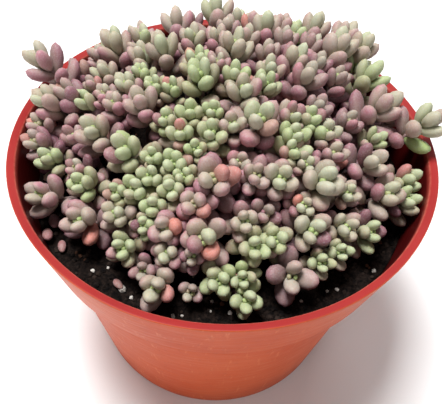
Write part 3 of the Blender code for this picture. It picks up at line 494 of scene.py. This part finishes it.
# One row for each stem, and one entry for each of its crowns, as in the solid model.
STEMS = (
    ((-52, 16.5, 13.5, "L", "blush"), (-44, 23, 0, "M", "mauve")),
    ((-34.5, 29.5, 2.5, "L", "pale"), (-39, 28.5, 0, "S", "blush"), (-40, 36, -2, "M", "pale")),
    ((-26.5, 32, 0, "M", "pale"), (-24.5, 21, 0, "M", "pale"), (-29, 41, -2, "M", "blush")),
    ((-34.5, 16.5, 0, "M", "pale"), (-37.5, 12, 0, "S", "mauve"), (-33, 7, 0, "S", "blush")),
    ((-38, 6.5, 0, "M", "green"), (-29.5, 3, 0, "M", "blush")),
    ((-48, 5.5, 6.5, "L", "pale"), (-43, 7.5, 3.5, "L", "mauve")),
    ((-50, 1, 3.5, "M", "blush"), (-49.5, -5, 4, "M", "mauve")),
    ((-46, -8, 0.5, "M", "green"), (-45, -20.5, 4, "L", "blush")),
    ((-37, -14, 0, "S", "blush"), (-35.5, -18, 0, "M", "green")),
    ((-34, -5.5, 1.5, "L", "pale"), (-40.5, -2.5, -2, "M", "mauve")),
    ((-34, -27.5, 1.5, "L", "blush"), (-25, -26.5, 0, "M", "pale")),
    ((-22.5, -34.5, 0, "M", "green"), (-17, -30, 0, "S", "green"), (-12.5, -31.5, 1.5, "L", "blush")),
    ((-13.5, -43, 1.5, "L", "pale"), (-11, -35.5, 0, "M", "pale"), (-17, -38, -2, "S", "mauve")),
    ((-15.5, -26.5, 0, "M", "green"), (-11.5, -23, 0, "M", "green")),
    ((-6.5, -26.5, 1.5, "L", "blush"),),
    ((-4, -35, 3, "X", "pale"), (-6, -36, 0, "S", "mauve")),
    ((-2.5, -22, 3, "X", "blush"), (-6.5, -13, 0, "S", "green")),
    ((-12, -17, 0, "M", "green"), (-17, -15, 0, "S", "green"), (-17.5, -19.5, 0, "M", "green"),
     (-9.5, -20, 0, "S", "green")),
    ((-20.5, -22.5, 0, "M", "green"), (-25, -22.5, 0, "S", "green")),
    ((-24.5, -13, 1.5, "L", "green"),),
    ((-10.5, -8.5, 0, "M", "green"), (-15, -4.5, 0, "S", "green"), (-9, -3, 0, "M", "green")),
    ((-3.5, -3, 0, "S", "green"), (-3.5, -8.5, 0, "M", "green"), (1.5, -6, 0, "M", "pale")),
    ((8.5, -6.5, 3, "X", "pale"), (4, -14, -3, "M", "blush")),
    ((17, -1.5, 0, "M", "pale"), (21.5, -1, 0, "M", "green"), (24, 6, -2, "M", "mauve")),
    ((27.5, -9, 0, "M", "blush"), (25.5, -4, 0, "M", "pale")),
    ((17.5, -11, 0, "M", "green"), (19.5, -13.5, 0, "S", "pale"), (17.5, -7, 0, "M", "green")),
    ((14, -19.5, 1.5, "L", "pale"), (8.5, -18.5, 0, "M", "blush")),
    ((24.5, -19, 3, "X", "pale"), (31, -18, 0, "S", "pale")),
    ((22, -29.5, 1.5, "L", "pale"), (20, -23.5, 0, "S", "pale")),
    ((6.5, -29, 0, "M", "pale"), (9, -33.5, 0, "M", "green"), (13, -32, 0, "M", "green"),
     (10.5, -25.2, -3, "M", "mauve")),
    ((18, -38.5, 0, "O", "mauve"),),
    ((25, -34.5, 0, "S", "green"), (29.5, -31.5, 0, "S", "green")),
    ((31, -26, 0, "M", "pale"), (37.5, -25, 0, "M", "green")),
    ((42.5, -15.5, 1.5, "L", "pale"), (48, -14.5, 1.5, "M", "green"), (49, -8, 1, "M", "green")),
    ((38, -8.5, 1.5, "L", "blush"), (40, 0, 0, "S", "green"), (33, 4, -2, "M", "mauve")),
    ((40, 22.5, 2.5, "L", "green"), (38, 32.5, 5, "L", "pale"), (33.5, 37.5, 4.5, "L", "blush"),
     (37, 28.5, 0, "M", "green")),
    ((30.5, 28, 4, "X", "pale"),),
    ((30, 17.5, 0, "M", "mauve"), (24.5, 20.5, 0, "M", "mauve")),
    ((24, 37.5, 3, "L", "pale"), (23.5, 30.5, 0, "M", "mauve"), (25, 46, -3, "M", "blush")),
    ((17.5, 18, 1.5, "L", "pale"), (20.5, 12, 1.5, "L", "mauve")),
    ((42, 8, 4.6, "X", "blush"),),
    ((53, 2.5, 12.5, "L", "pale"), (47, 15, -3, "M", "mauve")),
    ((-19, 21, 1.5, "L", "pale"),),
    ((-11, 27, 0, "M", "pale"), (-16, 35.5, 1.5, "L", "blush")),
    ((-5, 39.5, 2.7, "L", "pale"), (-1, 33, 0, "M", "mauve"), (-13, 46, -3, "M", "mauve")),
    ((-4, 26, 0, "M", "blush"), (0.5, 21.5, 1.5, "L", "pale")),
    ((-9, 16, 0, "M", "green"), (-3.5, 14.5, 0, "S", "blush"), (-7.5, 8.5, 1.5, "L", "green")),
    ((2, 10.5, 0, "M", "green"), (4, 4, 1.5, "L", "pale")),
    ((9.5, 8.5, 0, "M", "green"), (11, 13.5, 0, "M", "pale"), (10.5, 21, 0, "M", "mauve")),
    ((6, 40, -1, "M", "blush"), (4.5, 27.5, 0, "M", "blush"), (2, 50, -3, "M", "pale")),
    ((10, 33, 1.5, "L", "pale"), (15, 40, 0, "M", "blush")),
    ((15.5, 30.5, 0, "M", "mauve"), (19, 36.5, 0, "M", "green"), (13, 48, -3, "M", "pale")),
    ((-22, 0.5, 1.5, "L", "blush"), (-19.5, 6.5, 0, "S", "green"), (-15, 5.5, 0, "S", "green")),
    ((-27, 8.5, 0, "M", "pale"), (-23.5, 12.5, 0, "S", "green")),
    ((1, -41, 0, "M", "green"), (6.5, -40.5, 0, "S", "green"), (7.5, -44, 0, "M", "green"),
     (-5.5, -42, -3, "S", "mauve")),
)


def unit(v):
    return v / np.maximum(np.linalg.norm(v, axis=-1, keepdims=True), 1e-12)


def mound_height(x, y):
    """Height of the leaf tips over the plan: a dome that tilts up to the back."""
    rho = np.hypot(x - MOUND_CENTRE[0], y - MOUND_CENTRE[1]) / MOUND_RADIUS
    return POT_HEIGHT + MOUND_TOP - MOUND_DROP * rho**MOUND_POWER + MOUND_TILT * y


class Crowns:
    """All crowns as arrays: stem number, tip on the mound, axis, leaf sizes, number of pairs and colour."""

    def __init__(self):
        rows = [(number, *crown) for number, stem in enumerate(STEMS) for crown in stem]
        self.stem = np.array([row[0] for row in rows])
        x = np.array([row[1] for row in rows]) * MM
        y = np.array([row[2] for row in rows]) * MM
        lift = np.array([row[3] for row in rows]) * MM
        self.home = np.stack([x, y, mound_height(x, y) + lift], axis=1)
        self.tip = self.home.copy()
        aside = LEAN_ASIDE * (x - MOUND_CENTRE[0]) / MOUND_RADIUS
        back = LEAN_OUT * (y - MOUND_CENTRE[1]) / MOUND_RADIUS - LEAN_FORWARD
        self.axis = unit(np.stack([aside, back, np.ones(len(rows))], axis=1))
        sizes = np.array([LEAF_SIZES[row[4]] for row in rows])
        self.length, self.width, pairs, self.first_lean, self.last_lean, self.youngest = sizes.T
        self.colour = [row[5] for row in rows]
        room = self.tip[:, 2] - soil_height(x, y) - LOWEST_PAIR
        levels = np.arange(1, int(pairs.max()))
        low = self.axis[:, 2:3] * drop_below_tip(self.length[:, None], levels)
        self.pairs = np.minimum(pairs, 1 + (low < room[:, None]).sum(axis=1)).astype(int)


def across(axis, angle):
    """A unit vector square to the axis, turned round it by the angle."""
    side = unit(np.cross(axis, SIDEWAYS))
    other = np.cross(axis, side)
    return np.cos(angle)[..., None] * side + np.sin(angle)[..., None] * other


def drop_below_tip(length, pair):
    """How far down its axis a pair sits below the mound's surface; pairs stand wider apart lower down."""
    return length * (TIP_DEPTH + PAIR_SPACING * pair * (1 + SPACING_GROWTH * pair))


class Leaves:
    """All leaves as arrays: the crown and pair they belong to, the way they point and their size."""

    def __init__(self, crowns):
        draw = np.random.default_rng(SEED)
        self.spin = draw.uniform(-math.pi / 4, math.pi / 4, len(crowns.stem))
        self.crown = np.repeat(np.arange(len(crowns.stem)), crowns.pairs * 2)
        self.pair = np.concatenate([np.repeat(np.arange(n), 2) for n in crowns.pairs])
        self.side = np.concatenate([np.tile([0, 2], n) for n in crowns.pairs]) + self.pair % 2
        count = len(self.crown)
        self.axis = crowns.axis[self.crown]
        first, last = crowns.first_lean[self.crown], crowns.last_lean[self.crown]
        lean = last + (first - last) * np.exp(-self.pair / LEAN_PACE) + draw.normal(0, LEAN_SPREAD, count)
        lean = np.radians(lean)[:, None]
        radial = across(self.axis, self.spin[self.crown] + self.side * math.pi / 2)
        self.home = np.cos(lean) * self.axis + np.sin(lean) * radial
        self.way = self.home.copy()
        youngest = crowns.youngest[self.crown]
        growth = youngest + (1 - youngest) * np.minimum(1, self.pair / FULL_SIZE_PAIR) ** GROWTH_CURVE
        spread = 1 + draw.uniform(-SIZE_SPREAD, SIZE_SPREAD, (2, count))
        self.length = crowns.length[self.crown] * growth * spread[0]
        self.width = crowns.width[self.crown] * (0.1 + 0.9 * growth) * spread[1]
        drop = drop_below_tip(crowns.length[self.crown], self.pair)
        self.offset = radial * STEM_RADIUS * FOOT_INSET - self.axis * drop[:, None]


def leaf_balls(leaves, crowns):
    """Three balls that fill each leaf, used to keep leaves out of each other."""
    base = crowns.tip[leaves.crown] + leaves.offset
    reach = leaves.length[:, None] * BALL_PLACES
    centres = base[:, None, :] + reach[:, :, None] * leaves.way[:, None, :]
    radii = leaves.width[:, None] * BALL_SIZES * (0.5 + 0.5 * LEAF_FLATNESS) / 2
    return centres, radii


def neighbours(leaves, crowns):
    """Pairs of leaves whose middles are near enough to touch."""
    centres = leaf_balls(leaves, crowns)[0][:, 1]
    apart = np.linalg.norm(centres[:, None, :] - centres[None, :, :], axis=2)
    reach = (leaves.length + leaves.width)[:, None] / 2
    first, second = np.nonzero(apart < (reach + reach.T))
    keep = first < second
    return first[keep], second[keep]


def overlaps(leaves, crowns, first, second):
    """How deep each ball of the first leaf sits in each ball of the second, and the way out."""
    centres, radii = leaf_balls(leaves, crowns)
    between = centres[first][:, :, None, :] - centres[second][:, None, :, :]
    distance = np.linalg.norm(between, axis=3)
    need = radii[first][:, :, None] + radii[second][:, None, :] + LEAF_GAP
    same = leaves.crown[first] == leaves.crown[second]
    need = np.where(same[:, None, None], SAME_CROWN * need, need)
    depth = np.maximum(0, need - distance)
    return depth, between / np.maximum(distance, 1e-9)[..., None]


def wall_push(centres, radii):
    """Push that takes balls out of the pot's wall and lip, and up out of the soil."""
    rho = np.linalg.norm(centres[..., :2], axis=-1)
    z = centres[..., 2]
    inside = np.interp(z, [0, POT_HEIGHT], [INNER_WALL_FOOT, LIP_RADIUS - LIP_WIDTH]) - WALL_CLEARANCE
    gap_rho = rho - np.clip(rho, inside, LIP_RADIUS)
    gap_z = z - np.minimum(z, POT_HEIGHT)
    distance = np.maximum(np.hypot(gap_rho, gap_z), 1e-9)
    depth = np.maximum(0, radii + LEAF_GAP - distance)
    way_rho = np.where(distance > 1e-8, gap_rho / distance, -1.0)
    push = np.zeros_like(centres)
    push[..., :2] = centres[..., :2] * (way_rho * depth / np.maximum(rho, 1e-9))[..., None]
    floor = soil_height(centres[..., 0], centres[..., 1]) + 2 * GAP
    push[..., 2] = gap_z / distance * depth + np.maximum(0, floor + radii - z)
    return push


def stem_feet(crowns):
    """Where each stem stands in the soil: under its crowns, drawn in from the pot's wall."""
    middles = [crowns.tip[crowns.stem == number, :2].mean(axis=0) for number in range(len(STEMS))]
    out = np.linalg.norm(middles, axis=1)
    feet = np.array(middles) * np.minimum(TRUNK_INSET, FOOT_CIRCLE / out)[:, None]
    return np.column_stack([feet, soil_height(feet[:, 0], feet[:, 1])])


def branch_paths(crowns):
    """For each crown, the middle line of its branch: from its foot, past a knee, to under its leaves."""
    start = stem_feet(crowns)[crowns.stem] + np.array([0, 0, TRUNK_HEIGHT])
    end = crowns.tip - crowns.axis * drop_below_tip(crowns.length, crowns.pairs - 1.5)[:, None]
    reach = KNEE_REACH * np.linalg.norm(end - start, axis=1)[:, None]
    knee = 0.4 * (start + reach * np.array([0, 0, 1.0])) + 0.6 * (end - crowns.axis * reach)
    side_branch = np.r_[False, crowns.stem[1:] == crowns.stem[:-1]]
    knee[side_branch] = (start[side_branch] + end[side_branch]) / 2
    return np.stack([start, knee, end], axis=1)


def stem_push(centres, radii, leaves, paths):
    """Push that takes leaf balls out of the branches of other crowns."""
    share = np.linspace(0, 1, 6)[None, :, None]
    low = paths[:, :1] * (1 - share) + paths[:, 1:2] * share
    high = paths[:, 1:2] * (1 - share) + paths[:, 2:] * share
    beads = np.concatenate([low, high], axis=1)
    owner = np.repeat(np.arange(len(paths)), beads.shape[1])
    beads = beads.reshape(-1, 3)
    own = leaves.crown[:, None] == owner[None, :]
    rows = np.arange(len(centres))
    push = np.zeros_like(centres)
    for ball in range(centres.shape[1]):
        between = centres[:, ball, None, :] - beads[None, :, :]
        distance = np.linalg.norm(between, axis=2)
        depth = np.maximum(0, radii[:, ball, None] + STEM_RADIUS + LEAF_GAP - distance)
        depth[own] = 0
        worst = depth.argmax(axis=1)
        way = between[rows, worst] / np.maximum(distance[rows, worst], 1e-9)[:, None]
        push[:, ball] = way * depth[rows, worst][:, None]
    return push


def settle(leaves, crowns):
    """Bends leaves clear of each other, of stems, of the pot and of the soil, and shifts crowns a little."""
    count = np.bincount(leaves.crown, minlength=len(crowns.tip))[:, None]
    for step in range(SETTLE_STEPS):
        if step % 10 == 0:
            first, second = neighbours(leaves, crowns)
        depth, way = overlaps(leaves, crowns, first, second)
        push = way * depth[..., None] * 0.5
        centres, radii = leaf_balls(leaves, crowns)
        move = wall_push(centres, radii)
        np.add.at(move, first, push.sum(axis=2))
        np.add.at(move, second, -push.sum(axis=1))
        if step % 3 == 0:
            from_stems = stem_push(centres, radii, leaves, branch_paths(crowns))
        move += from_stems
        turn = (move * BALL_PLACES[None, :, None]).sum(axis=1) / (BALL_PLACES**2).sum()
        turned = unit(leaves.way * leaves.length[:, None] + TURN_SHARE * turn)
        leaves.way = unit(turned + TURN_BACK * leaves.home)
        shift = np.zeros_like(crowns.tip)
        np.add.at(shift, leaves.crown, move.mean(axis=1))
        crowns.tip += SHIFT_SHARE * shift / count + SHIFT_BACK * (crowns.home - crowns.tip)


crowns = Crowns()
leaves = Leaves(crowns)
settle(leaves, crowns)

# --- Leaves and branches: plump, egg-shaped leaves with a blunt tip, pale grey-green under a powdery
# bloom, blushed lavender and pink towards their tips and mauve when old. A piece for each stem.
AROUND = 10
ALONG = np.array([0.0, 0.10, 0.28, 0.50, 0.72, 0.89])
GIRTH = np.array([0.30, 0.58, 0.86, 1.0, 0.93, 0.60])
UPPER_FLATNESS = 0.70
LOWER_FLATNESS = 0.92
BEND = 0.07


def leaf_surfaces(base, way, up, length, width, bend=BEND):
    """Rings of points round each leaf's curved middle line, and its tip: half widths follow GIRTH,
    the upper face is a little flatter than the lower, and the line rises with the square of the way out."""
    side = np.cross(up, way)
    turn = np.linspace(0, 2 * np.pi, AROUND, endpoint=False)
    out = ALONG[None, :, None]
    rise = bend * (ALONG**2 - 0.45 * ALONG)[None, :, None]
    middle = base[:, None] + (way[:, None] * out + up[:, None] * rise) * length[:, None, None]
    half = (width[:, None] / 2 * GIRTH)[:, :, None, None]
    thick = np.where(np.sin(turn) > 0, UPPER_FLATNESS, LOWER_FLATNESS)
    ring = (side[:, None, None] * np.cos(turn)[None, None, :, None]
            + up[:, None, None] * (thick * np.sin(turn))[None, None, :, None])
    rings = middle[:, :, None] + half * ring
    end = base + (way + up * bend * 0.55) * length[:, None]
    return np.concatenate([rings.reshape(len(base), -1, 3), end[:, None]], axis=1)


def leaf_faces():
    """Bands of faces from the foot to the last ring, a fan to the tip, and the foot closed by one face."""
    last = (len(ALONG) - 1) * AROUND
    faces = grid_faces(len(ALONG), AROUND).tolist()
    faces += [[last + i, last + (i + 1) % AROUND, last + AROUND] for i in range(AROUND)]
    faces.append(list(range(AROUND))[::-1])
    return faces


def tube(path, radii, sides=8):
    """Rings of points carried along a path, square to it, closed at both ends."""
    way = unit(np.gradient(path, axis=0))
    side = unit(np.cross(way, np.array([0.31, 0.95, 0.05])))
    other = np.cross(way, side)
    turn = np.linspace(0, 2 * np.pi, sides, endpoint=False)[None, :, None]
    ring = side[:, None] * np.cos(turn) + other[:, None] * np.sin(turn)
    points = path[:, None] + ring * radii[:, None, None]
    faces = grid_faces(len(path), sides).tolist()
    faces.append(list(range(sides))[::-1])
    faces.append(list(range((len(path) - 1) * sides, len(path) * sides)))
    return points.reshape(-1, 3), faces


def branch_line(path, tip):
    """A curve through the foot, knee and end of a branch, then straight to just under its tip."""
    start, knee, end = path
    handle = 2 * knee - (start + end) / 2
    share = np.linspace(0, 1, 7)[:, None]
    curve = (1 - share) ** 2 * start + 2 * share * (1 - share) * handle + share**2 * end
    below = start - np.array([0, 0, 4 * MM])
    above = end + (tip - end) * np.array([[0.4], [0.8]])
    return np.concatenate([below[None], curve, above])


TONES = {
    "green": (0.80, 0.12, 0.00),
    "pale": (0.35, 0.45, 0.12),
    "blush": (0.15, 0.78, 0.22),
    "mauve": (0.05, 0.70, 0.65),
}
WARM_SHARE = 0.025
draw = np.random.default_rng(77)
count = len(leaves.crown)
tone = np.array([TONES[colour] for colour in crowns.colour])[leaves.crown]
age = leaves.pair / 6
fresh = np.clip(tone[:, 0] + 0.40 * (0.35 - age) + draw.normal(0, 0.10, count), 0, 1)
blush = np.clip(tone[:, 1] + 1.3 * (age - 0.40) + draw.normal(0, 0.17, count), 0, 1)
dusk = np.clip(tone[:, 2] + 1.1 * (age - 0.58) + draw.normal(0, 0.15, count), 0, 1)
young = np.array([0.0, 0.8, 0.5, 0.15, 0, 0, 0])[leaves.pair] * draw.uniform(0.6, 1.0, count)
fresh = np.where(leaves.pair == 0, 1.0, fresh)
warm = (draw.random(count) < WARM_SHARE) * (leaves.pair > 1) * draw.uniform(0.3, 0.8, count)

# Leaves that stand out in the photograph: a tint as fresh, blush, dusk and warm, and the pixels it is at.
SEEN_LEAVES = (
    ((0.0, 0.3, 0.0, 1.0), ((224, 257), (104, 169), (184, 220), (298, 192), (84, 240), (38, 128))),
    ((0.0, 0.9, 0.1, 0.65), ((170, 79), (177, 126), (231, 168), (215, 210), (171, 303), (394, 164), (233, 183))),
    ((0.0, 1.0, 0.1, 0.1), ((232, 153), (247, 144), (289, 103), (347, 128), (97, 255), (298, 82), (341, 75))),
    ((0.0, 0.9, 0.5, 0.1), ((64, 130), (66, 140), (68, 150), (99, 163), (150, 128), (236, 200), (130, 269),
                            (176, 272), (192, 249), (270, 154), (305, 108), (325, 110), (367, 190), (293, 210),
                            (290, 218), (256, 194), (287, 44), (320, 72), (336, 94), (400, 140), (419, 153))),
    ((0.0, 0.8, 0.95, 0.05), ((126, 127), (86, 159), (194, 267), (367, 208), (392, 221), (390, 231), (264, 213),
                              (278, 213), (131, 228), (352, 143), (324, 234))),
    ((0.2, 0.25, 0.35, 0.35), ((120, 179), (106, 194), (175, 147), (188, 160), (275, 130), (284, 150))),
    ((1.0, 0.0, 0.0, 0.0), ((177, 99), (420, 144), (322, 132))),
)
middles = crowns.tip[leaves.crown] + leaves.offset + leaves.way * leaves.length[:, None] * 0.6 - eye
depth = middles @ look
pixel_x = IMAGE_SIZE[0] / 2 + FOCAL_PIXELS * (middles @ across_view) / depth
pixel_y = IMAGE_SIZE[1] / 2 - FOCAL_PIXELS * (middles @ up_view) / depth
for tint, places in SEEN_LEAVES:
    for place_x, place_y in places:
        off = np.hypot(pixel_x - place_x, pixel_y - place_y) + 1.2 * (depth - depth.min()) / MM - 4 * (leaves.pair > 1)
        nearest = int(np.argmin(off))
        fresh[nearest], blush[nearest], dusk[nearest], warm[nearest] = tint

leaf_finish = Finish("stonecrop_leaf", Roughness=0.5, IOR=1.4)
leaf_finish.set("Specular IOR Level", 0.3)
leaf_finish.set("Subsurface Weight", 0.2)
leaf_finish.set("Subsurface Radius", (1.0, 0.6, 0.4))
leaf_finish.set("Subsurface Scale", 0.7 * MM)
patches = leaf_finish.noise(420.0, 3.0)
fine = leaf_finish.noise(2600.0, 3.0)
flesh = leaf_finish.blend(leaf_finish.attribute("fresh"), (0.38, 0.355, 0.285), (0.31, 0.39, 0.15))
young_share = leaf_finish.sum("MULTIPLY", leaf_finish.attribute("young"), 0.75)
flesh = leaf_finish.blend(young_share, flesh, (0.48, 0.50, 0.36))
out_share = leaf_finish.steps(leaf_finish.attribute("along"), 0.15, 0.95, 0.0, 0.55)
outer_share = leaf_finish.steps(leaf_finish.attribute("outer"), -0.7, 0.8, 0.25, 0.85)
reach = leaf_finish.sum("MULTIPLY", leaf_finish.attribute("blush"), leaf_finish.sum("ADD", out_share, outer_share))
reach = leaf_finish.sum("MULTIPLY", reach, leaf_finish.steps(patches, 0.3, 0.7, 0.75, 1.15))
flesh = leaf_finish.blend(reach, flesh, (0.40, 0.185, 0.215))
old = leaf_finish.sum("MULTIPLY", leaf_finish.attribute("dusk"), leaf_finish.steps(patches, 0.3, 0.7, 0.75, 1.1))
flesh = leaf_finish.blend(old, flesh, (0.18, 0.075, 0.10))
flesh = leaf_finish.blend(leaf_finish.attribute("warm"), flesh, (0.50, 0.19, 0.15))
flesh = leaf_finish.blend(leaf_finish.steps(fine, 0.45, 0.7, 0.0, 0.20), flesh, (0.58, 0.57, 0.56))
leaf_finish.set("Base Color", flesh)
leaf_finish.bump(leaf_finish.sum("ADD", fine, leaf_finish.sum("MULTIPLY", patches, 2.0)), 0.05 * MM, 0.5)

# Young pairs close over the crown's middle, and plump leaves swell into the gaps that settling left.
CLOSING = np.array([1.4, 0.75, 0.42, 0.16, 0.0, 0.0, 0.0])
SWELLING = np.array([1.0, 1.14, 1.12, 1.10, 1.10, 1.08, 1.06])
THICKENING = 1.10
way = unit(leaves.way + CLOSING[leaves.pair][:, None] * leaves.axis)
length = leaves.length * SWELLING[leaves.pair]
width = leaves.width * THICKENING
facing = unit(leaves.axis - way * (leaves.axis * way).sum(axis=1, keepdims=True))
feet = crowns.tip[leaves.crown] + leaves.offset
surfaces = leaf_surfaces(feet, way, facing, length, width)
per_leaf = surfaces.shape[1]
faces_of_leaf = np.array([face + [-1] * (AROUND - len(face)) for face in leaf_faces()])
along_of_leaf = np.append(np.repeat(ALONG, AROUND), 1.0)
outer_of_leaf = np.append(np.tile(-np.sin(np.linspace(0, 2 * np.pi, AROUND, endpoint=False)), len(ALONG)), 0.0)
paths = branch_paths(crowns)
for number in range(len(STEMS)):
    mine = np.nonzero(crowns.stem[leaves.crown] == number)[0]
    points = [surfaces[mine].reshape(-1, 3)]
    shape = np.where(faces_of_leaf < 0, -1, 0)[None] + 0 * mine[:, None, None]
    numbered = faces_of_leaf[None] + per_leaf * np.arange(len(mine))[:, None, None]
    faces = [[v for v in face if v >= 0] for face in np.where(shape < 0, -1, numbered).reshape(-1, AROUND).tolist()]
    values = {
        "along": np.tile(along_of_leaf, len(mine)),
        "outer": np.tile(outer_of_leaf, len(mine)),
        "warm": np.repeat(warm[mine], per_leaf),
        "young": np.repeat(young[mine], per_leaf),
        "fresh": np.repeat(fresh[mine], per_leaf),
        "blush": np.repeat(blush[mine], per_leaf),
        "dusk": np.repeat(dusk[mine], per_leaf),
    }
    total = len(mine) * per_leaf
    for crown in np.nonzero(crowns.stem == number)[0]:
        line = branch_line(paths[crown], crowns.tip[crown])
        branch, branch_faces = tube(line, np.interp(np.arange(len(line)), [0, 1, 9], [1.0, 0.95, 0.55]) * MM)
        points.append(branch)
        faces += [[v + total for v in face] for face in branch_faces]
        total += len(branch)
        for key, value in (("along", 0.3), ("outer", 0.5), ("warm", 0.0), ("young", 0.0), ("fresh", 0.2), ("blush", 0.5), ("dusk", 0.55)):
            values[key] = np.append(values[key], np.full(len(branch), value))
    piece = add_piece(f"leafy_stem_{number + 1:02d}", np.concatenate(points), faces, leaf_finish)
    for key, value in values.items():
        add_attribute(piece, key, value)
    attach(piece, "root")
    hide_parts(f"stem_{number + 1:02d}")

# --- Fallen leaves: a few old leaves that have dropped and lie on the soil near the pot's wall. They
# have the leaves' shape and skin, and each rests on its flatter side.
FALLEN = ((48, 236, 4.6), (55, 223, 5.0), (40, 216, 4.4), (62, 246, 3.6), (150, 293, 2.6), (118, 284, 3.2))
FALLEN_BACK = ((44, 18, 4.2), (-20, 47, 4.6), (30, 38, 4.0))
draw = np.random.default_rng(5)
fallen_seen = seen_at([row[:2] for row in FALLEN], soil_top + MM)[:, :2]
lying = np.concatenate([fallen_seen, np.array(FALLEN_BACK)[:, :2] * MM])
fallen_length = np.array([row[2] for row in FALLEN + FALLEN_BACK]) * MM
turn = draw.uniform(0, 2 * np.pi, len(lying))
lying_way = np.stack([np.cos(turn), np.sin(turn), draw.uniform(0.0, 0.25, len(lying))], axis=1)
lying_way = unit(lying_way)
lying_up = unit(np.array([0, 0, 1.0]) - lying_way * lying_way[:, 2:3])
lying_base = np.column_stack([lying, soil_height(*lying.T) + 0.33 * fallen_length]) - lying_way * fallen_length[:, None] / 2
fallen = leaf_surfaces(lying_base, lying_way, lying_up, fallen_length, 0.62 * fallen_length, 0.0)
per_fallen = fallen.shape[1]
fallen_faces = [[v + k * per_fallen for v in face] for k in range(len(lying)) for face in leaf_faces()]
piece = add_piece("fallen_leaves", fallen.reshape(-1, 3), fallen_faces, leaf_finish)
add_attribute(piece, "along", np.tile(along_of_leaf, len(lying)))
add_attribute(piece, "outer", np.tile(outer_of_leaf, len(lying)))
add_attribute(piece, "fresh", np.zeros(len(lying) * per_fallen))
add_attribute(piece, "young", np.zeros(len(lying) * per_fallen))
add_attribute(piece, "blush", np.repeat(draw.uniform(0.6, 1.0, len(lying)), per_fallen))
add_attribute(piece, "dusk", np.repeat(draw.uniform(0.3, 0.9, len(lying)), per_fallen))
add_attribute(piece, "warm", np.repeat(draw.uniform(0.0, 0.4, len(lying)), per_fallen))
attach(piece, "root")

# --- Floor and light: a plain pale floor, a pale room, and large soft lamps, the strongest one high
# on the left as in the photograph.
floor_finish = Finish("floor", Roughness=0.9)
floor_finish.set("Base Color", (0.93, 0.93, 0.93))
floor = add_piece("floor", [(-2, -2, 0), (2, -2, 0), (2, 2, 0), (-2, 2, 0)], [(0, 1, 2, 3)], floor_finish)
world = bpy.data.worlds.new("room")
world.use_nodes = True
world.node_tree.nodes["Background"].inputs["Color"].default_value = (1, 1, 1, 1)
world.node_tree.nodes["Background"].inputs["Strength"].default_value = 0.20
bpy.context.scene.world = world
LAMPS = (
    ("key", (-0.17, 0.06, 0.92), 0.30, 12.0),
    ("front", (-0.60, -0.75, 0.14), 0.4, 2.6),
    ("fill", (0.6, -0.5, 0.4), 0.6, 0.9),
    ("back", (0.1, 0.7, 0.6), 0.5, 1.5),
)
for name, place, size, power in LAMPS:
    lamp_data = bpy.data.lights.new(name, "AREA")
    lamp_data.size = size
    lamp_data.energy = power
    lamp = bpy.data.objects.new(name, lamp_data)
    bpy.context.scene.collection.objects.link(lamp)
    back = unit(np.array(place) - np.array([0, 0, 0.06]))
    side = unit(np.cross([0, 0, 1], back))
    top = np.cross(back, side)
    lamp.matrix_world = Matrix([[side[i], top[i], back[i], place[i]] for i in range(3)] + [[0, 0, 0, 1]])
bpy.context.scene.view_settings.view_transform = "Standard"
